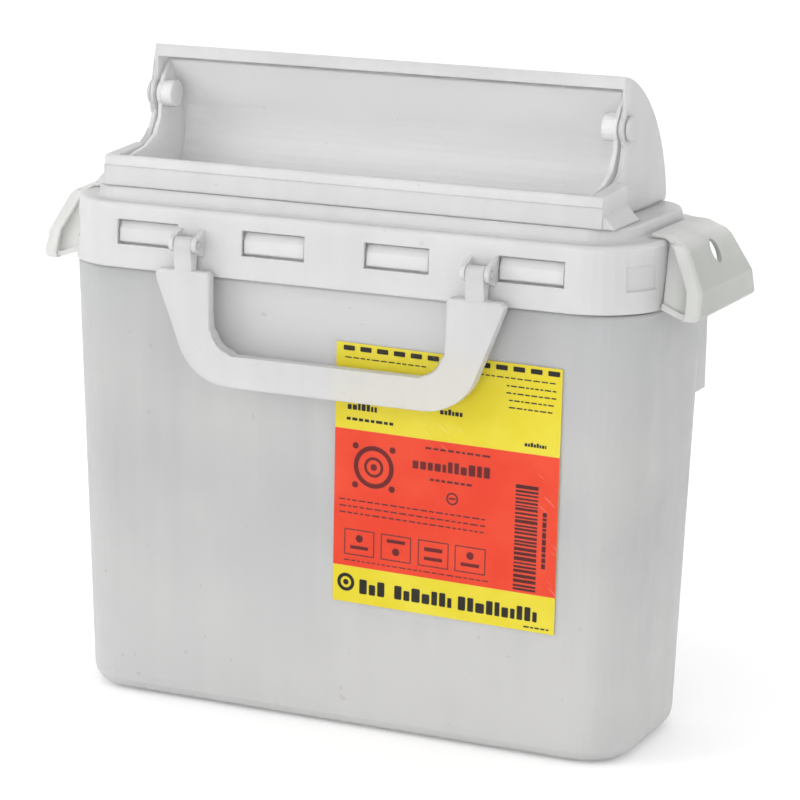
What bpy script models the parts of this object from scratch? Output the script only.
"""Sharps container with a counterbalanced door, a hanging carry handle and bracket wings.

Metres, +Z up, +X to the right, the front faces -Y. The origin is the middle of the base.
Lengths below are written in millimetres and multiplied by MM.
"""

import math

import bmesh
import bpy
from mathutils import Matrix, Vector

MM = 0.001
GAP = 0.3  # clearance between pieces that touch
CORNER_STEPS = 10  # segments in each rounded plan corner

# Container: a tapered tub, measured at its base and at the shoulder under the collar
BASE_X = 131.5
BASE_Y = 43.6
SHOULDER_X = 136.5
SHOULDER_Y = 49.25
SHOULDER_Z = 197.0
TUB_CORNER = 23.0
TUB_WALL = 1.8
FOOT_FILLET = 9.0
NECK_INSET = 2.0
NECK_CORNER = 24.0
RIM_Z = 222.0

# Hanger rails on the back of the tub
RAIL_OUTER_X = 130.5
RAIL_BACK_Y = 55.5
RAIL_BOTTOM_Z = 148.5
RAIL_TOP_Z = 196.0

# Collar: the skirt and deck of the lid
SKIRT_X = 138.0
SKIRT_Y = 54.0
SKIRT_CORNER = 31.0
SKIRT_BOTTOM_Z = 198.0
LEDGE_Z = 226.3
DECK_Z = 232.0
DECK_OPEN_X = 113.0
DECK_OPEN_Y = 41.0
PLATE = 1.8  # moulded wall of the collar and the door

# Snap windows through the skirt, with a hook of the tub in each
WINDOW_X = (-90.0, -29.0, 29.0, 90.0)
WINDOW_WIDTH = 30.0
WINDOW_LOW_Z = 208.2
WINDOW_HIGH_Z = 219.2
SIDE_WINDOW_Y = -3.0
HOOK_WIDTH = 28.6
POCKET_DEPTH = 1.1
POCKET_SPAN = (-44.0, -14.0)  # degrees around the corner, from the front to the side
POCKET_LOW_Z = 207.4
POCKET_HIGH_Z = 217.6

# Hood: front wall, cheeks and a quarter-round roof
HOOD_X = 113.2
CHUTE_X = 117.0
CHUTE_BACK_Y = -14.0
HOOD_WALL = 2.0
HOOD_ROUND = 1.2
HOOD_DRAFT = 0.00018  # narrowing of the hood per millimetre of height
LIP_Y = -42.5
LIP_Z = 245.4
LIP_BEAD = 0.9  # how far the lip's rolled edge stands out from the front wall
LIP_BEAD_HEIGHT = 4.6
ROOF_CENTRE = (-20.5, 228.0)  # (Y, Z) of the roof arc
ROOF_RADIUS = 64.5
ROOF_STEPS = 24
ROOF_FRONT_Y = -6.8
BAND_HEIGHT = 5.5

# Door: a trough that hangs on two pins
DOOR_AXIS = (-4.0, 269.0)  # (Y, Z)
DOOR_X = 109.4
DOOR_PIN_RADIUS = 3.0
DOOR_PIN_HEAD = 5.6
BOSS_RADIUS = 6.8
ROD_RADIUS = 1.8
ROD_CENTRE = (8.6, 276.0)  # (Y, Z)
ROD_HALF_LENGTH = 100.0

# Bracket wings
WING_FRONT_Y = -31.2
WING_BACK_Y = 43.6
WING_BOTTOM_Z = 194.8
WING_FRONT_RAKE = 0.32  # how far the front end leans back per millimetre of height
WING_BACK_RAKE = 0.37  # how far the back end leans forward per millimetre of height
WING_LIP = 6.0  # width of the front end's inward lip
WING_HOLE = (8.0, 218.6)  # (Y, Z)
WING_HOLE_RADIUS = 4.8
WING_WEB_SETBACK = 4.0  # from the front end to the web that closes the channel
WING_WEB = 1.8

# Carry handle and its hinge lugs
HANDLE_AXIS = (-58.7, 212.0)  # (Y, Z)
HANDLE_FRONT_Y = -61.6
HANDLE_BACK_Y = -55.8
HANDLE_TOP_Z = 201.0
HANDLE_BOTTOM_Z = 151.6
GRIP_TOP_Z = 165.5
LEG_OUTER_X = 82.0
LEG_INNER_X = 55.5
TAB_X = 68.4
TAB_HALF_WIDTH = 4.15
LUG_THICKNESS = 2.0
LUG_RADIUS = 3.7
HANDLE_PIN_RADIUS = 1.5

# Label on the front wall, put on by hand and so not quite level
LABEL_CENTRE = (51.0, 116.0)  # (X, Z)
LABEL_WIDTH = 104.0
LABEL_HEIGHT = 116.0
LABEL_TILT = 0.9  # degrees clockwise, seen from the front
LABEL_THICKNESS = 0.3


# ---------------------------------------------------------------- helpers


def clear_scene():
    for thing in list(bpy.data.objects):
        bpy.data.objects.remove(thing, do_unlink=True)


def material(name, colour, roughness, metallic=0.0):
    made = bpy.data.materials.new(name)
    made.use_nodes = True
    made.diffuse_color = (*colour, 1.0)
    shader = made.node_tree.nodes["Principled BSDF"]
    shader.inputs["Base Color"].default_value = (*colour, 1.0)
    shader.inputs["Roughness"].default_value = roughness
    shader.inputs["Metallic"].default_value = metallic
    return made


def add_object(name, mesh_data, surface=None):
    """Turns a bmesh in millimetres into an object in metres."""
    bmesh.ops.recalc_face_normals(mesh_data, faces=mesh_data.faces)
    bmesh.ops.scale(mesh_data, vec=(MM, MM, MM), verts=mesh_data.verts)
    mesh = bpy.data.meshes.new(name)
    mesh_data.to_mesh(mesh)
    mesh_data.free()
    made = bpy.data.objects.new(name, mesh)
    bpy.context.collection.objects.link(made)
    if surface is not None:
        mesh.materials.append(surface)
    return made


def round_shading(made, angle=35.0):
    made.data.shade_smooth()
    made.data.set_sharp_from_angle(angle=math.radians(angle))


def boolean(target, tool, operation="DIFFERENCE"):
    tool.hide_render = True
    tool.display_type = "WIRE"
    change = target.modifiers.new(tool.name, "BOOLEAN")
    change.operation = operation
    change.object = tool
    change.solver = "EXACT"


def set_origin(made, point_mm):
    """Moves an object's origin to a point without moving its surface."""
    point = Vector(point_mm) * MM
    made.data.transform(Matrix.Translation(-point))
    made.location = point


def rounded_rectangle(half_x, half_y, radius, z):
    """Points of one level ring, anticlockwise seen from above."""
    ring = []
    for quarter, (side_x, side_y) in enumerate(((1, 1), (-1, 1), (-1, -1), (1, -1))):
        for step in range(CORNER_STEPS + 1):
            angle = math.radians(90.0 * (quarter + step / CORNER_STEPS))
            ring.append(
                (
                    side_x * (half_x - radius) + radius * math.cos(angle),
                    side_y * (half_y - radius) + radius * math.sin(angle),
                    z,
                )
            )
    return ring


def loft(rings, closed_loop=False):
    """Skins a stack of rings. An open stack is capped, a closed loop becomes a ring-shaped body."""
    made = bmesh.new()
    rows = [[made.verts.new(point) for point in ring] for ring in rings]
    pairs = list(zip(rows[:-1], rows[1:]))
    if closed_loop:
        pairs.append((rows[-1], rows[0]))
    else:
        made.faces.new(rows[0])
        made.faces.new(rows[-1])
    for low, high in pairs:
        for index in range(len(low)):
            following = (index + 1) % len(low)
            made.faces.new((low[index], low[following], high[following], high[index]))
    return made


def prism(outline, axis, low, high):
    """Extrudes a closed outline of (a, b) pairs along X ('X': a=Y, b=Z) or Y ('Y': a=X, b=Z)."""
    if axis == "X":
        ends = [[(at, a, b) for a, b in outline] for at in (low, high)]
    else:
        ends = [[(a, at, b) for a, b in outline] for at in (low, high)]
    return loft(ends)


def arc(centre, radius, start, end, steps):
    """Points on a circle in a plane, from the start to the end angle in degrees."""
    points = []
    for step in range(steps + 1):
        angle = math.radians(start + (end - start) * step / steps)
        points.append((centre[0] + radius * math.cos(angle), centre[1] + radius * math.sin(angle)))
    return points


def circle(centre, radius, steps=20):
    return arc(centre, radius, 0.0, 360.0 - 360.0 / steps, steps - 1)


def smooth_path(knots, steps):
    """A Catmull-Rom curve through the knots, with the same number of steps in each span."""
    padded = [knots[0], *knots, knots[-1]]
    points = []
    for index in range(1, len(padded) - 2):
        before, start, end, after = (Vector(knot) for knot in padded[index - 1 : index + 3])
        for step in range(steps):
            t = step / steps
            bend = (end - before) * t + (2 * before - 5 * start + 4 * end - after) * t**2
            bend += (3 * start - before - 3 * end + after) * t**3
            points.append(tuple(start + 0.5 * bend))
    points.append(tuple(knots[-1]))
    return points


def offset_path(points, distance):
    """Moves an open path sideways, to the right of its direction."""
    moved = []
    for index, point in enumerate(points):
        before = Vector(points[max(index - 1, 0)])
        after = Vector(points[min(index + 1, len(points) - 1)])
        along = (after - before).normalized()
        moved.append((point[0] + along.y * distance, point[1] - along.x * distance))
    return moved


def cylinder_x(centre, radius, low, high, steps=20):
    return prism(circle(centre, radius, steps), "X", low, high)


def mirrored(value, side):
    """Orders a span on the right-hand side, or its mirror image on the left."""
    low, high = value
    return (low, high) if side > 0 else (-high, -low)


# ---------------------------------------------------------------- container


def tub_half_size(z):
    share = z / SHOULDER_Z
    return (
        BASE_X + (SHOULDER_X - BASE_X) * share,
        BASE_Y + (SHOULDER_Y - BASE_Y) * share,
    )


def tub_ring(z, inset, corner):
    half_x, half_y = tub_half_size(z)
    return rounded_rectangle(half_x - inset, half_y - inset, max(corner - inset, 2.0), z)


def hook(outer, centre, facing, axis):
    """A snap hook on the tub's neck: square underneath, chamfered on top. It faces along Y or X."""
    root = outer - 6.5
    outline = [
        (root, WINDOW_LOW_Z + 0.9),
        (outer - 0.5, WINDOW_LOW_Z + 0.9),
        (outer, WINDOW_LOW_Z + 1.5),
        (outer - 0.2, WINDOW_HIGH_Z - 4.2),
        (outer - 2.2, WINDOW_HIGH_Z - 0.9),
        (root, WINDOW_HIGH_Z - 0.9),
    ]
    half = HOOK_WIDTH / 2
    turned = [(facing * a, b) for a, b in outline]
    return prism(turned, axis, centre - half, centre + half)


def window(centre, facing, axis):
    """A block that cuts one snap window through the skirt. It faces along Y or X."""
    half = WINDOW_WIDTH / 2
    outline = [
        (centre - half, WINDOW_LOW_Z),
        (centre + half, WINDOW_LOW_Z),
        (centre + half, WINDOW_HIGH_Z),
        (centre - half, WINDOW_HIGH_Z),
    ]
    if axis == "Y":
        return prism(outline, "Y", *mirrored((SKIRT_Y - 4.0, SKIRT_Y + 2.0), facing))
    return prism(outline, "X", *mirrored((SKIRT_X - 4.0, SKIRT_X + 2.0), facing))


def wall_middle_y(x, z):
    """Y of the middle of the tub's wall in its rear corner."""
    half_x, half_y = tub_half_size(z)
    across = x - (half_x - TUB_CORNER)
    return half_y - TUB_CORNER + math.sqrt((TUB_CORNER - TUB_WALL / 2) ** 2 - across**2)


def hanger_rail(side):
    """An L-shaped rail: a web out of the rear corner and a lip that points inwards."""
    inner = RAIL_OUTER_X - 3.2
    lip = RAIL_OUTER_X - 11.0
    ends = []
    for z in (RAIL_BOTTOM_Z, RAIL_TOP_Z):
        plan = [
            (inner, wall_middle_y(inner, z)),
            (RAIL_OUTER_X, wall_middle_y(RAIL_OUTER_X, z)),
            (RAIL_OUTER_X, RAIL_BACK_Y),
            (lip, RAIL_BACK_Y),
            (lip, RAIL_BACK_Y - 2.4),
            (inner, RAIL_BACK_Y - 2.4),
        ]
        ends.append([(side * x, y, z) for x, y in plan])
    return loft(ends)


def make_container(surface):
    rings = []
    for step in range(5):
        angle = math.radians(22.5 * step)
        height = FOOT_FILLET * (1 - math.cos(angle))
        rings.append(tub_ring(height, FOOT_FILLET * (1 - math.sin(angle)), TUB_CORNER))
    rings.append(tub_ring(SHOULDER_Z - 1.0, 0.0, TUB_CORNER))
    rings.append(tub_ring(SHOULDER_Z, 0.6, TUB_CORNER))
    neck_x = SHOULDER_X - NECK_INSET
    neck_y = SHOULDER_Y - NECK_INSET
    rings.append(rounded_rectangle(neck_x, neck_y, NECK_CORNER, SHOULDER_Z + 0.2))
    rings.append(rounded_rectangle(neck_x, neck_y, NECK_CORNER, RIM_Z - 0.6))
    rings.append(rounded_rectangle(neck_x - 0.6, neck_y - 0.6, NECK_CORNER - 0.6, RIM_Z))
    bore_x = neck_x - TUB_WALL
    bore_y = neck_y - TUB_WALL
    rings.append(rounded_rectangle(bore_x, bore_y, NECK_CORNER - TUB_WALL, RIM_Z))
    rings.append(rounded_rectangle(bore_x, bore_y, NECK_CORNER - TUB_WALL, SHOULDER_Z - 3.0))
    rings.append(tub_ring(SHOULDER_Z - 5.0, TUB_WALL, TUB_CORNER))
    inner_fillet = FOOT_FILLET - TUB_WALL
    for step in range(4, -1, -1):
        angle = math.radians(22.5 * step)
        height = TUB_WALL + inner_fillet * (1 - math.cos(angle))
        rings.append(
            tub_ring(height, TUB_WALL + inner_fillet * (1 - math.sin(angle)), TUB_CORNER)
        )
    tub = add_object("container_body", loft(rings), surface)

    for side in (-1, 1):
        for number, x in enumerate(WINDOW_X):
            catch = hook(SKIRT_Y - 1.5, x, side, "X")
            boolean(tub, add_object(f"cut_hook_{side}_{number}", catch), "UNION")
        catch = hook(SKIRT_X - 1.5, SIDE_WINDOW_Y, side, "Y")
        boolean(tub, add_object(f"cut_hook_end_{side}", catch), "UNION")
        boolean(tub, add_object(f"cut_rail_{side}", hanger_rail(side)), "UNION")
    round_shading(tub)
    return tub


# ---------------------------------------------------------------- collar


def corner_pocket(side):
    """A shallow pocket around a front corner of the skirt."""
    centre = (SKIRT_X - SKIRT_CORNER, -SKIRT_Y + SKIRT_CORNER)
    bottom = arc(centre, SKIRT_CORNER - POCKET_DEPTH, *POCKET_SPAN, 8)
    outline = [*bottom, *arc(centre, SKIRT_CORNER + 3.0, *reversed(POCKET_SPAN), 8)]
    ends = [[(side * x, y, z) for x, y in outline] for z in (POCKET_LOW_Z, POCKET_HIGH_Z)]
    return loft(ends)


def make_collar(surface):
    slope = 1.1  # how much narrower the skirt is at its top
    top_x = SKIRT_X - slope
    top_y = SKIRT_Y - slope
    inner = PLATE
    rings = [
        rounded_rectangle(SKIRT_X, SKIRT_Y, SKIRT_CORNER, SKIRT_BOTTOM_Z),
        rounded_rectangle(top_x, top_y, SKIRT_CORNER - 1.0, LEDGE_Z - 1.7),
        rounded_rectangle(top_x - 0.6, top_y - 0.6, SKIRT_CORNER - 1.6, LEDGE_Z - 0.5),
        rounded_rectangle(top_x - 1.8, top_y - 1.8, SKIRT_CORNER - 2.8, LEDGE_Z),
        rounded_rectangle(128.0, 47.4, 23.0, LEDGE_Z),
        rounded_rectangle(127.2, 46.4, 22.0, LEDGE_Z + 0.9),
        rounded_rectangle(126.4, 45.6, 21.2, DECK_Z - 0.8),
        rounded_rectangle(125.4, 44.9, 20.4, DECK_Z),
        rounded_rectangle(DECK_OPEN_X, DECK_OPEN_Y, 6.0, DECK_Z),
        rounded_rectangle(DECK_OPEN_X, DECK_OPEN_Y, 6.0, DECK_Z - inner),
        rounded_rectangle(124.2, 43.7, 19.4, DECK_Z - inner),
        rounded_rectangle(125.4, 44.7, 20.4, LEDGE_Z - 0.9),
        rounded_rectangle(126.4, 45.7, 21.4, LEDGE_Z - inner),
        rounded_rectangle(top_x - 2.6, top_y - 2.6, SKIRT_CORNER - 3.4, LEDGE_Z - inner),
        rounded_rectangle(top_x - 1.9, top_y - 1.9, SKIRT_CORNER - 2.8, LEDGE_Z - 2.7),
        rounded_rectangle(SKIRT_X - inner, SKIRT_Y - inner, SKIRT_CORNER - 1.8, SKIRT_BOTTOM_Z),
    ]
    collar = add_object("lid_collar", loft(rings, closed_loop=True), surface)

    for side in (-1, 1):
        for number, x in enumerate(WINDOW_X):
            boolean(collar, add_object(f"cut_window_{side}_{number}", window(x, side, "Y")))
        boolean(collar, add_object(f"cut_window_end_{side}", window(SIDE_WINDOW_Y, side, "X")))
        boolean(collar, add_object(f"cut_corner_pocket_{side}", corner_pocket(side)))

    axis_y, axis_z = HANDLE_AXIS
    root_y = -SKIRT_Y + 1.6
    outline = [(root_y, axis_z - 6.5), *arc(HANDLE_AXIS, LUG_RADIUS, 270.0, 90.0, 8)]
    outline.append((root_y, axis_z + 6.5))
    first = TAB_HALF_WIDTH + GAP
    for side in (-1, 1):
        for edge in (-1, 1):
            low, high = sorted((edge * first, edge * (first + LUG_THICKNESS)))
            lug = prism(outline, "X", side * TAB_X + low, side * TAB_X + high)
            boolean(collar, add_object(f"cut_lug_{side}_{edge}", lug), "UNION")
        reach = first + LUG_THICKNESS + 1.0
        bore = cylinder_x(
            HANDLE_AXIS, HANDLE_PIN_RADIUS + GAP, side * TAB_X - reach, side * TAB_X + reach, 16
        )
        boolean(collar, add_object(f"cut_lug_bore_{side}", bore))
    round_shading(collar)
    return collar


# ---------------------------------------------------------------- hood


def roof_z(y, radius):
    return ROOF_CENTRE[1] + math.sqrt(radius**2 - (y - ROOF_CENTRE[0]) ** 2)


def roof_arc(radius, front_y, floor_z, steps):
    """The roof line from its front edge back and down to the floor level."""
    start = math.degrees(math.acos((front_y - ROOF_CENTRE[0]) / radius))
    end = math.degrees(math.asin((floor_z - ROOF_CENTRE[1]) / radius))
    return arc(ROOF_CENTRE, radius, start, end, steps)


def apply_draft(shape):
    """Narrows the hood slightly towards its top, as a moulding is."""
    for vertex in shape.verts:
        vertex.co.x *= 1.0 - HOOD_DRAFT * (vertex.co.z - LIP_Z)


def soften_ends(shape, size):
    """Bevels the edges around the two end faces of a prism along X."""
    rim = [
        edge
        for edge in shape.edges
        if edge.verts[0].co.x * edge.verts[1].co.x > 0.0
    ]
    bmesh.ops.bevel(
        shape,
        geom=rim,
        offset=size,
        offset_type="OFFSET",
        segments=2,
        profile=0.5,
        affect="EDGES",
        clamp_overlap=True,
    )


def make_hood(surface):
    floor = DECK_Z + GAP
    outline = [(LIP_Y - 1.6, floor), (LIP_Y, LIP_Z - 0.6), (LIP_Y + 0.8, LIP_Z)]
    outline += smooth_path(
        [(LIP_Y + 3.0, LIP_Z + 0.2), (-20.0, 247.2), (-13.0, 250.4), (-9.8, 256.0), (-7.8, 261.4)], 3
    )
    outline += arc(DOOR_AXIS, BOSS_RADIUS, 225.0, 140.0, 6)
    outline.append((ROOF_FRONT_Y, DOOR_AXIS[1] + 8.0))
    outline += roof_arc(ROOF_RADIUS, ROOF_FRONT_Y, floor, ROOF_STEPS)
    shape = prism(outline, "X", -HOOD_X, HOOD_X)
    apply_draft(shape)
    soften_ends(shape, HOOD_ROUND)
    hood = add_object("hood", shape, surface)

    bead_z = LIP_Z - LIP_BEAD_HEIGHT
    wall_lean = 1.6 * (LIP_Z - 0.6 - bead_z) / (LIP_Z - 0.6 - floor)
    chute_outline = [
        (LIP_Y - 1.6, floor),
        (LIP_Y - wall_lean, bead_z),
        (LIP_Y - wall_lean - LIP_BEAD, bead_z + 0.5),
        (LIP_Y - LIP_BEAD, LIP_Z - 0.9),
        (LIP_Y - LIP_BEAD + 0.8, LIP_Z),
        (LIP_Y + 3.0, LIP_Z + 0.2),
        (-22.0, 246.9),
        (CHUTE_BACK_Y - 2.0, 247.6),
        (CHUTE_BACK_Y, 245.0),
        (CHUTE_BACK_Y + 2.0, floor),
    ]
    chute = prism(chute_outline, "X", -CHUTE_X, CHUTE_X)
    soften_ends(chute, 0.6)
    boolean(hood, add_object("cut_chute", chute), "UNION")

    band_y = ROOF_FRONT_Y + HOOD_WALL
    inner_radius = ROOF_RADIUS - HOOD_WALL
    below = floor - 6.0
    band_low = roof_z(ROOF_FRONT_Y, ROOF_RADIUS) - BAND_HEIGHT
    cavity = [
        (LIP_Y + 0.6, below),
        (LIP_Y + 0.6, floor),
        (LIP_Y + HOOD_WALL, LIP_Z + 4.0),
        (LIP_Y + HOOD_WALL, LIP_Z + 20.0),
        (ROOF_FRONT_Y - 8.0, band_low - 6.0),
        (ROOF_FRONT_Y - 8.0, band_low),
        (band_y, band_low),
        *roof_arc(inner_radius, band_y, floor, ROOF_STEPS),
        (roof_arc(inner_radius, band_y, floor, 1)[-1][0], below),
    ]
    inside = prism(cavity, "X", -(HOOD_X - HOOD_WALL), HOOD_X - HOOD_WALL)
    apply_draft(inside)
    boolean(hood, add_object("cut_hood_inside", inside))

    for side in (-1, 1):
        skirt_outline = [
            (side * (CHUTE_X - 1.0), floor),
            (side * (CHUTE_X + 5.4), floor),
            (side * (CHUTE_X + 4.6), floor + 0.9),
            (side * (CHUTE_X + 1.0), floor + 4.6),
            (side * (CHUTE_X - 1.0), floor + 6.8),
        ]
        flare = prism(skirt_outline, "Y", LIP_Y - 0.4, CHUTE_BACK_Y + 0.6)
        boolean(hood, add_object(f"cut_flare_{side}", flare), "UNION")
        boss = cylinder_x(DOOR_AXIS, BOSS_RADIUS - 0.6, *mirrored((110.2, 112.2), side))
        boolean(hood, add_object(f"cut_boss_{side}", boss), "UNION")
        bore = cylinder_x(DOOR_AXIS, DOOR_PIN_RADIUS + GAP, *mirrored((108.0, 120.0), side))
        boolean(hood, add_object(f"cut_pin_bore_{side}", bore))
    round_shading(hood)
    return hood


# ---------------------------------------------------------------- door


def door_surface():
    """The trough's inner face in (Y, Z), from its front edge down and up to its top edge."""
    knots = [
        (-38.2, 244.2),
        (-33.8, 238.0),
        (-22.0, 231.2),
        (-8.0, 229.4),
        (3.2, 232.4),
        (10.2, 239.8),
        (13.3, 249.5),
        (11.8, 259.5),
        (7.6, 268.5),
        (3.6, 276.5),
        (0.1, 283.4),
    ]
    return smooth_path(knots, 3)


def make_door(surface):
    face = door_surface()
    back = offset_path(face, PLATE)
    mouth = [
        (-5.6, 277.0),
        *arc(DOOR_AXIS, 6.2, 120.0, 225.0, 6),
        (-8.8, 259.0),
        (-13.6, 251.4),
        (-22.0, 247.2),
    ]
    outline = [*back, face[-1], *mouth, face[0]]
    shell = prism(outline, "X", -DOOR_X, DOOR_X)
    door = add_object("door_tray", shell, surface)

    scoop = [*face, (-4.0, 292.0), (-46.0, 292.0), (-46.0, 244.2)]
    inside = prism(scoop, "X", -(DOOR_X - PLATE), DOOR_X - PLATE)
    boolean(door, add_object("cut_door_inside", inside))
    for side in (-1, 1):
        hub = cylinder_x(DOOR_AXIS, 6.0, *mirrored((DOOR_X - 7.0, DOOR_X - 0.9), side))
        boolean(door, add_object(f"cut_hub_{side}", hub), "UNION")
        bore = cylinder_x(
            DOOR_AXIS, DOOR_PIN_RADIUS + GAP, *mirrored((DOOR_X - 5.4, DOOR_X + 3.0), side)
        )
        boolean(door, add_object(f"cut_hub_bore_{side}", bore))

    rod_y, rod_z = ROD_CENTRE
    seat = ROD_RADIUS + 1.3
    for number, x in enumerate((-88.0, 0.0, 88.0)):
        outline = [
            (rod_y - 3.4, rod_z - 1.0),
            *arc(ROD_CENTRE, seat, -70.0, 70.0, 8),
            (rod_y - 4.8, rod_z + 2.4),
        ]
        clip = prism(outline, "X", x - 2.5, x + 2.5)
        boolean(door, add_object(f"cut_clip_{number}", clip), "UNION")
    channel = cylinder_x(ROD_CENTRE, ROD_RADIUS + GAP, -95.0, 95.0, 16)
    boolean(door, add_object("cut_rod_channel", channel))
    round_shading(door)
    set_origin(door, (0.0, *DOOR_AXIS))
    return door


def make_balance_rod(surface, door):
    rod = add_object(
        "balance_rod",
        cylinder_x(ROD_CENTRE, ROD_RADIUS, -ROD_HALF_LENGTH, ROD_HALF_LENGTH, 12),
        surface,
    )
    round_shading(rod)
    set_origin(rod, (0.0, *DOOR_AXIS))
    rod.parent = door
    rod.matrix_parent_inverse = door.matrix_world.inverted()
    return rod


def make_door_pin(side, surface):
    """A snap pin: round head outside the cheek, shaft through cheek and door hub."""
    head_low = HOOD_X + 0.1
    profile = [
        (DOOR_X - 4.6, DOOR_PIN_RADIUS - 0.7),
        (DOOR_X - 3.9, DOOR_PIN_RADIUS),
        (head_low, DOOR_PIN_RADIUS),
        (head_low, DOOR_PIN_HEAD),
        (head_low + 1.2, DOOR_PIN_HEAD),
        (head_low + 1.8, DOOR_PIN_HEAD - 0.8),
    ]
    rings = []
    for x, radius in profile:
        rings.append([(side * x, y, z) for y, z in circle(DOOR_AXIS, radius)])
    name = "door_pin_right" if side > 0 else "door_pin_left"
    pin = add_object(name, loft(rings), surface)
    round_shading(pin)
    set_origin(pin, (0.0, *DOOR_AXIS))
    return pin


# ---------------------------------------------------------------- wings


def wing_section(side, outline, front):
    """Points of a section of the wing on its leaning front or back end."""
    if front:
        start, lean = WING_FRONT_Y, WING_FRONT_RAKE
    else:
        start, lean = WING_BACK_Y, -WING_BACK_RAKE
    return [Vector((side * x, start + lean * (z - WING_BOTTOM_Z), z)) for x, z in outline]


def make_wing(side, surface):
    """A C-shaped channel beside the collar, with a lip on its front end and a web set back behind it."""
    plate = [
        (154.2, WING_BOTTOM_Z),
        (155.6, WING_BOTTOM_Z + 1.4),
        (155.2, 206.4),
        (147.2, 222.4),
        (145.0, 224.6),
    ]
    outline = [
        (138.6, 198.4),
        (147.0, WING_BOTTOM_Z + 0.5),
        *plate,
        (137.2, 228.0),
        (130.0, 228.5),
        (130.0, 226.8),
        (136.0, 226.7),
        (138.4, 225.3),
        (143.9, 222.8),
        (145.3, 221.6),
        (153.1, 205.8),
        (153.4, 197.4),
        (147.2, 197.5),
        (138.6, 200.8),
    ]
    front_inset = Vector((0.0, 1.4, 0.0))
    rings = [
        [point + front_inset for point in wing_section(side, outline, True)],
        wing_section(side, outline, False),
    ]
    name = "bracket_wing_right" if side > 0 else "bracket_wing_left"
    wing = add_object(name, loft(rings), surface)

    lip = [*plate, *[(x - WING_LIP, z) for x, z in reversed(plate)]]
    inset = [*[(x - 1.1, z) for x, z in plate], *[(x - WING_LIP, z) for x, z in reversed(plate)]]
    first = wing_section(side, inset, True)
    face = wing_section(side, lip, True)
    rings = [
        first,
        [point + Vector((0.0, 1.1, 0.0)) for point in face],
        [point + Vector((0.0, 2.6, 0.0)) for point in face],
    ]
    boolean(wing, add_object(f"cut_wing_lip_{side}", loft(rings)), "UNION")

    web = [
        (138.35, 199.6),
        (147.1, 196.5),
        (153.8, 196.5),
        (153.9, 206.0),
        (146.0, 222.0),
        (144.3, 223.7),
        (137.35, 226.2),
    ]
    front = wing_section(side, web, True)
    rings = [
        [point + Vector((0.0, setback, 0.0)) for point in front]
        for setback in (WING_WEB_SETBACK, WING_WEB_SETBACK + WING_WEB)
    ]
    boolean(wing, add_object(f"cut_wing_web_{side}", loft(rings)), "UNION")
    hole = cylinder_x(WING_HOLE, WING_HOLE_RADIUS, *mirrored((140.0, 160.0), side), 24)
    boolean(wing, add_object(f"cut_wing_hole_{side}", hole))
    round_shading(wing, 20.0)
    return wing


# ---------------------------------------------------------------- handle


def make_handle(surface):
    """A flat U that hangs from two tabs, with a level grip along its bottom."""
    corner = 25.5
    centre = (46.0, HANDLE_BOTTOM_Z + corner)
    right = [
        (0.0, HANDLE_BOTTOM_Z),
        (24.0, HANDLE_BOTTOM_Z),
        *arc(centre, corner, 270.0, 338.0, 12),
        (LEG_OUTER_X - 1.2, HANDLE_TOP_Z - 5.0),
        (LEG_OUTER_X, HANDLE_TOP_Z - 1.6),
        (LEG_OUTER_X - 2.0, HANDLE_TOP_Z),
        (LEG_INNER_X + 1.6, HANDLE_TOP_Z),
        (LEG_INNER_X, HANDLE_TOP_Z - 1.6),
        *arc((LEG_INNER_X - 11.0, GRIP_TOP_Z + 11.0), 11.0, 0.0, -90.0, 8),
        (20.0, GRIP_TOP_Z),
        (0.0, GRIP_TOP_Z),
    ]
    left = [(-x, z) for x, z in reversed(right[1:-1])]
    shape = prism(right + left, "Y", HANDLE_FRONT_Y, HANDLE_BACK_Y)
    rim = [
        edge
        for edge in shape.edges
        if abs(edge.verts[0].co.y - edge.verts[1].co.y) < 0.001
    ]
    bmesh.ops.bevel(
        shape,
        geom=rim,
        offset=1.5,
        offset_type="OFFSET",
        segments=2,
        profile=0.5,
        affect="EDGES",
        clamp_overlap=True,
    )
    handle = add_object("carry_handle", shape, surface)

    axis_y, axis_z = HANDLE_AXIS
    for side in (-1, 1):
        outline = [
            (HANDLE_BACK_Y - 0.8, HANDLE_TOP_Z - 4.0),
            (axis_y + LUG_RADIUS - 0.3, axis_z),
            *arc(HANDLE_AXIS, LUG_RADIUS - 0.3, 20.0, 160.0, 7),
            (axis_y - LUG_RADIUS + 0.3, axis_z),
            (HANDLE_FRONT_Y + 0.8, HANDLE_TOP_Z - 4.0),
        ]
        low = side * TAB_X - TAB_HALF_WIDTH
        tab = prism(outline, "X", low, low + 2 * TAB_HALF_WIDTH)
        boolean(handle, add_object(f"cut_tab_{side}", tab), "UNION")
        bore = cylinder_x(
            HANDLE_AXIS, HANDLE_PIN_RADIUS + GAP, side * TAB_X - 8.0, side * TAB_X + 8.0, 16
        )
        boolean(handle, add_object(f"cut_tab_bore_{side}", bore))
    round_shading(handle)
    set_origin(handle, (0.0, *HANDLE_AXIS))
    return handle


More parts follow.
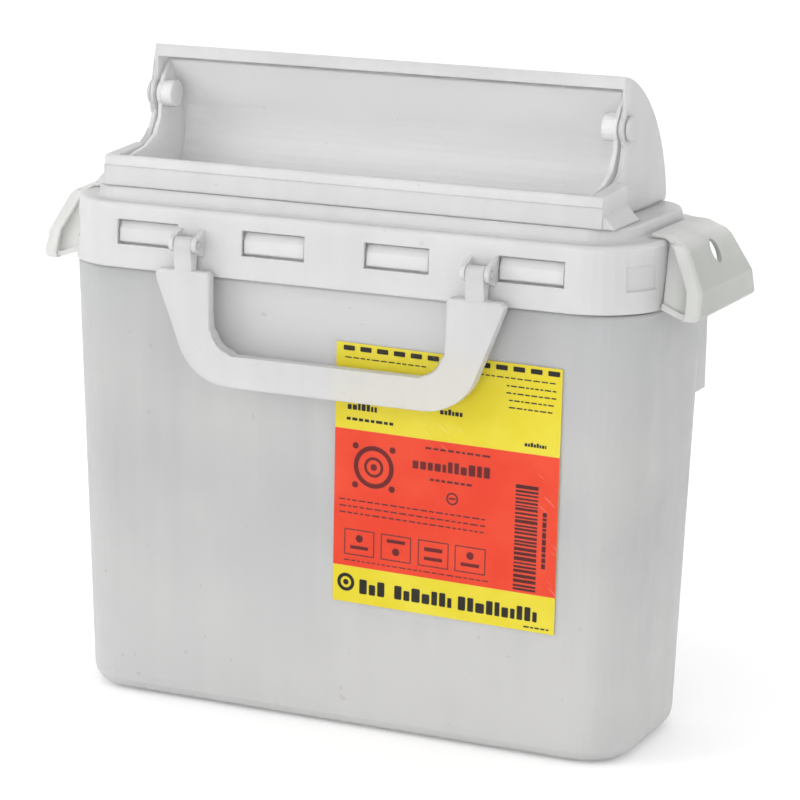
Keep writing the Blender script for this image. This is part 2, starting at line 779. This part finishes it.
def make_handle_pin(side, surface):
    reach = TAB_HALF_WIDTH + GAP + LUG_THICKNESS + 0.8
    name = "handle_pin_right" if side > 0 else "handle_pin_left"
    pin = add_object(
        name,
        cylinder_x(
            HANDLE_AXIS, HANDLE_PIN_RADIUS, side * TAB_X - reach, side * TAB_X + reach, 16
        ),
        surface,
    )
    round_shading(pin)
    set_origin(pin, (0.0, *HANDLE_AXIS))
    return pin


# ---------------------------------------------------------------- label


def make_label(surface):
    """A thin sheet that lies on the sloping front wall of the tub."""
    tilt = math.radians(LABEL_TILT)
    half_x, half_z = LABEL_WIDTH / 2, LABEL_HEIGHT / 2
    rings = []
    for out in (GAP, GAP + LABEL_THICKNESS):
        ring = []
        for across, up in ((-half_x, -half_z), (half_x, -half_z), (half_x, half_z), (-half_x, half_z)):
            x = LABEL_CENTRE[0] + across * math.cos(tilt) + up * math.sin(tilt)
            z = LABEL_CENTRE[1] - across * math.sin(tilt) + up * math.cos(tilt)
            ring.append((x, -tub_half_size(z)[1] - out, z))
        rings.append(ring)
    return add_object("front_label", loft(rings), surface)


# ---------------------------------------------------------------- assembly


def main():
    clear_scene()
    pearl = material("pearl_polypropylene", (0.80, 0.81, 0.83), 0.42)
    white = material("white_polypropylene", (0.88, 0.89, 0.90), 0.40)
    hood_white = material("hood_polypropylene", (0.86, 0.87, 0.88), 0.30)
    door_white = material("door_polypropylene", (0.84, 0.85, 0.87), 0.40)
    wing_white = material("wing_polypropylene", (0.84, 0.85, 0.84), 0.42)
    handle_white = material("handle_polypropylene", (0.90, 0.91, 0.93), 0.38)
    pin_white = material("pin_polypropylene", (0.82, 0.83, 0.86), 0.35)
    steel = material("rod_steel", (0.62, 0.63, 0.64), 0.32, 1.0)
    paper = material("label_paper", (0.86, 0.78, 0.12), 0.45)

    make_container(pearl)
    make_collar(white)
    make_hood(hood_white)
    door = make_door(door_white)
    bpy.context.view_layer.update()
    make_balance_rod(steel, door)
    make_handle(handle_white)
    for side in (-1, 1):
        make_door_pin(side, pin_white)
        make_wing(side, wing_white)
        make_handle_pin(side, pin_white)
    make_label(paper)


main()
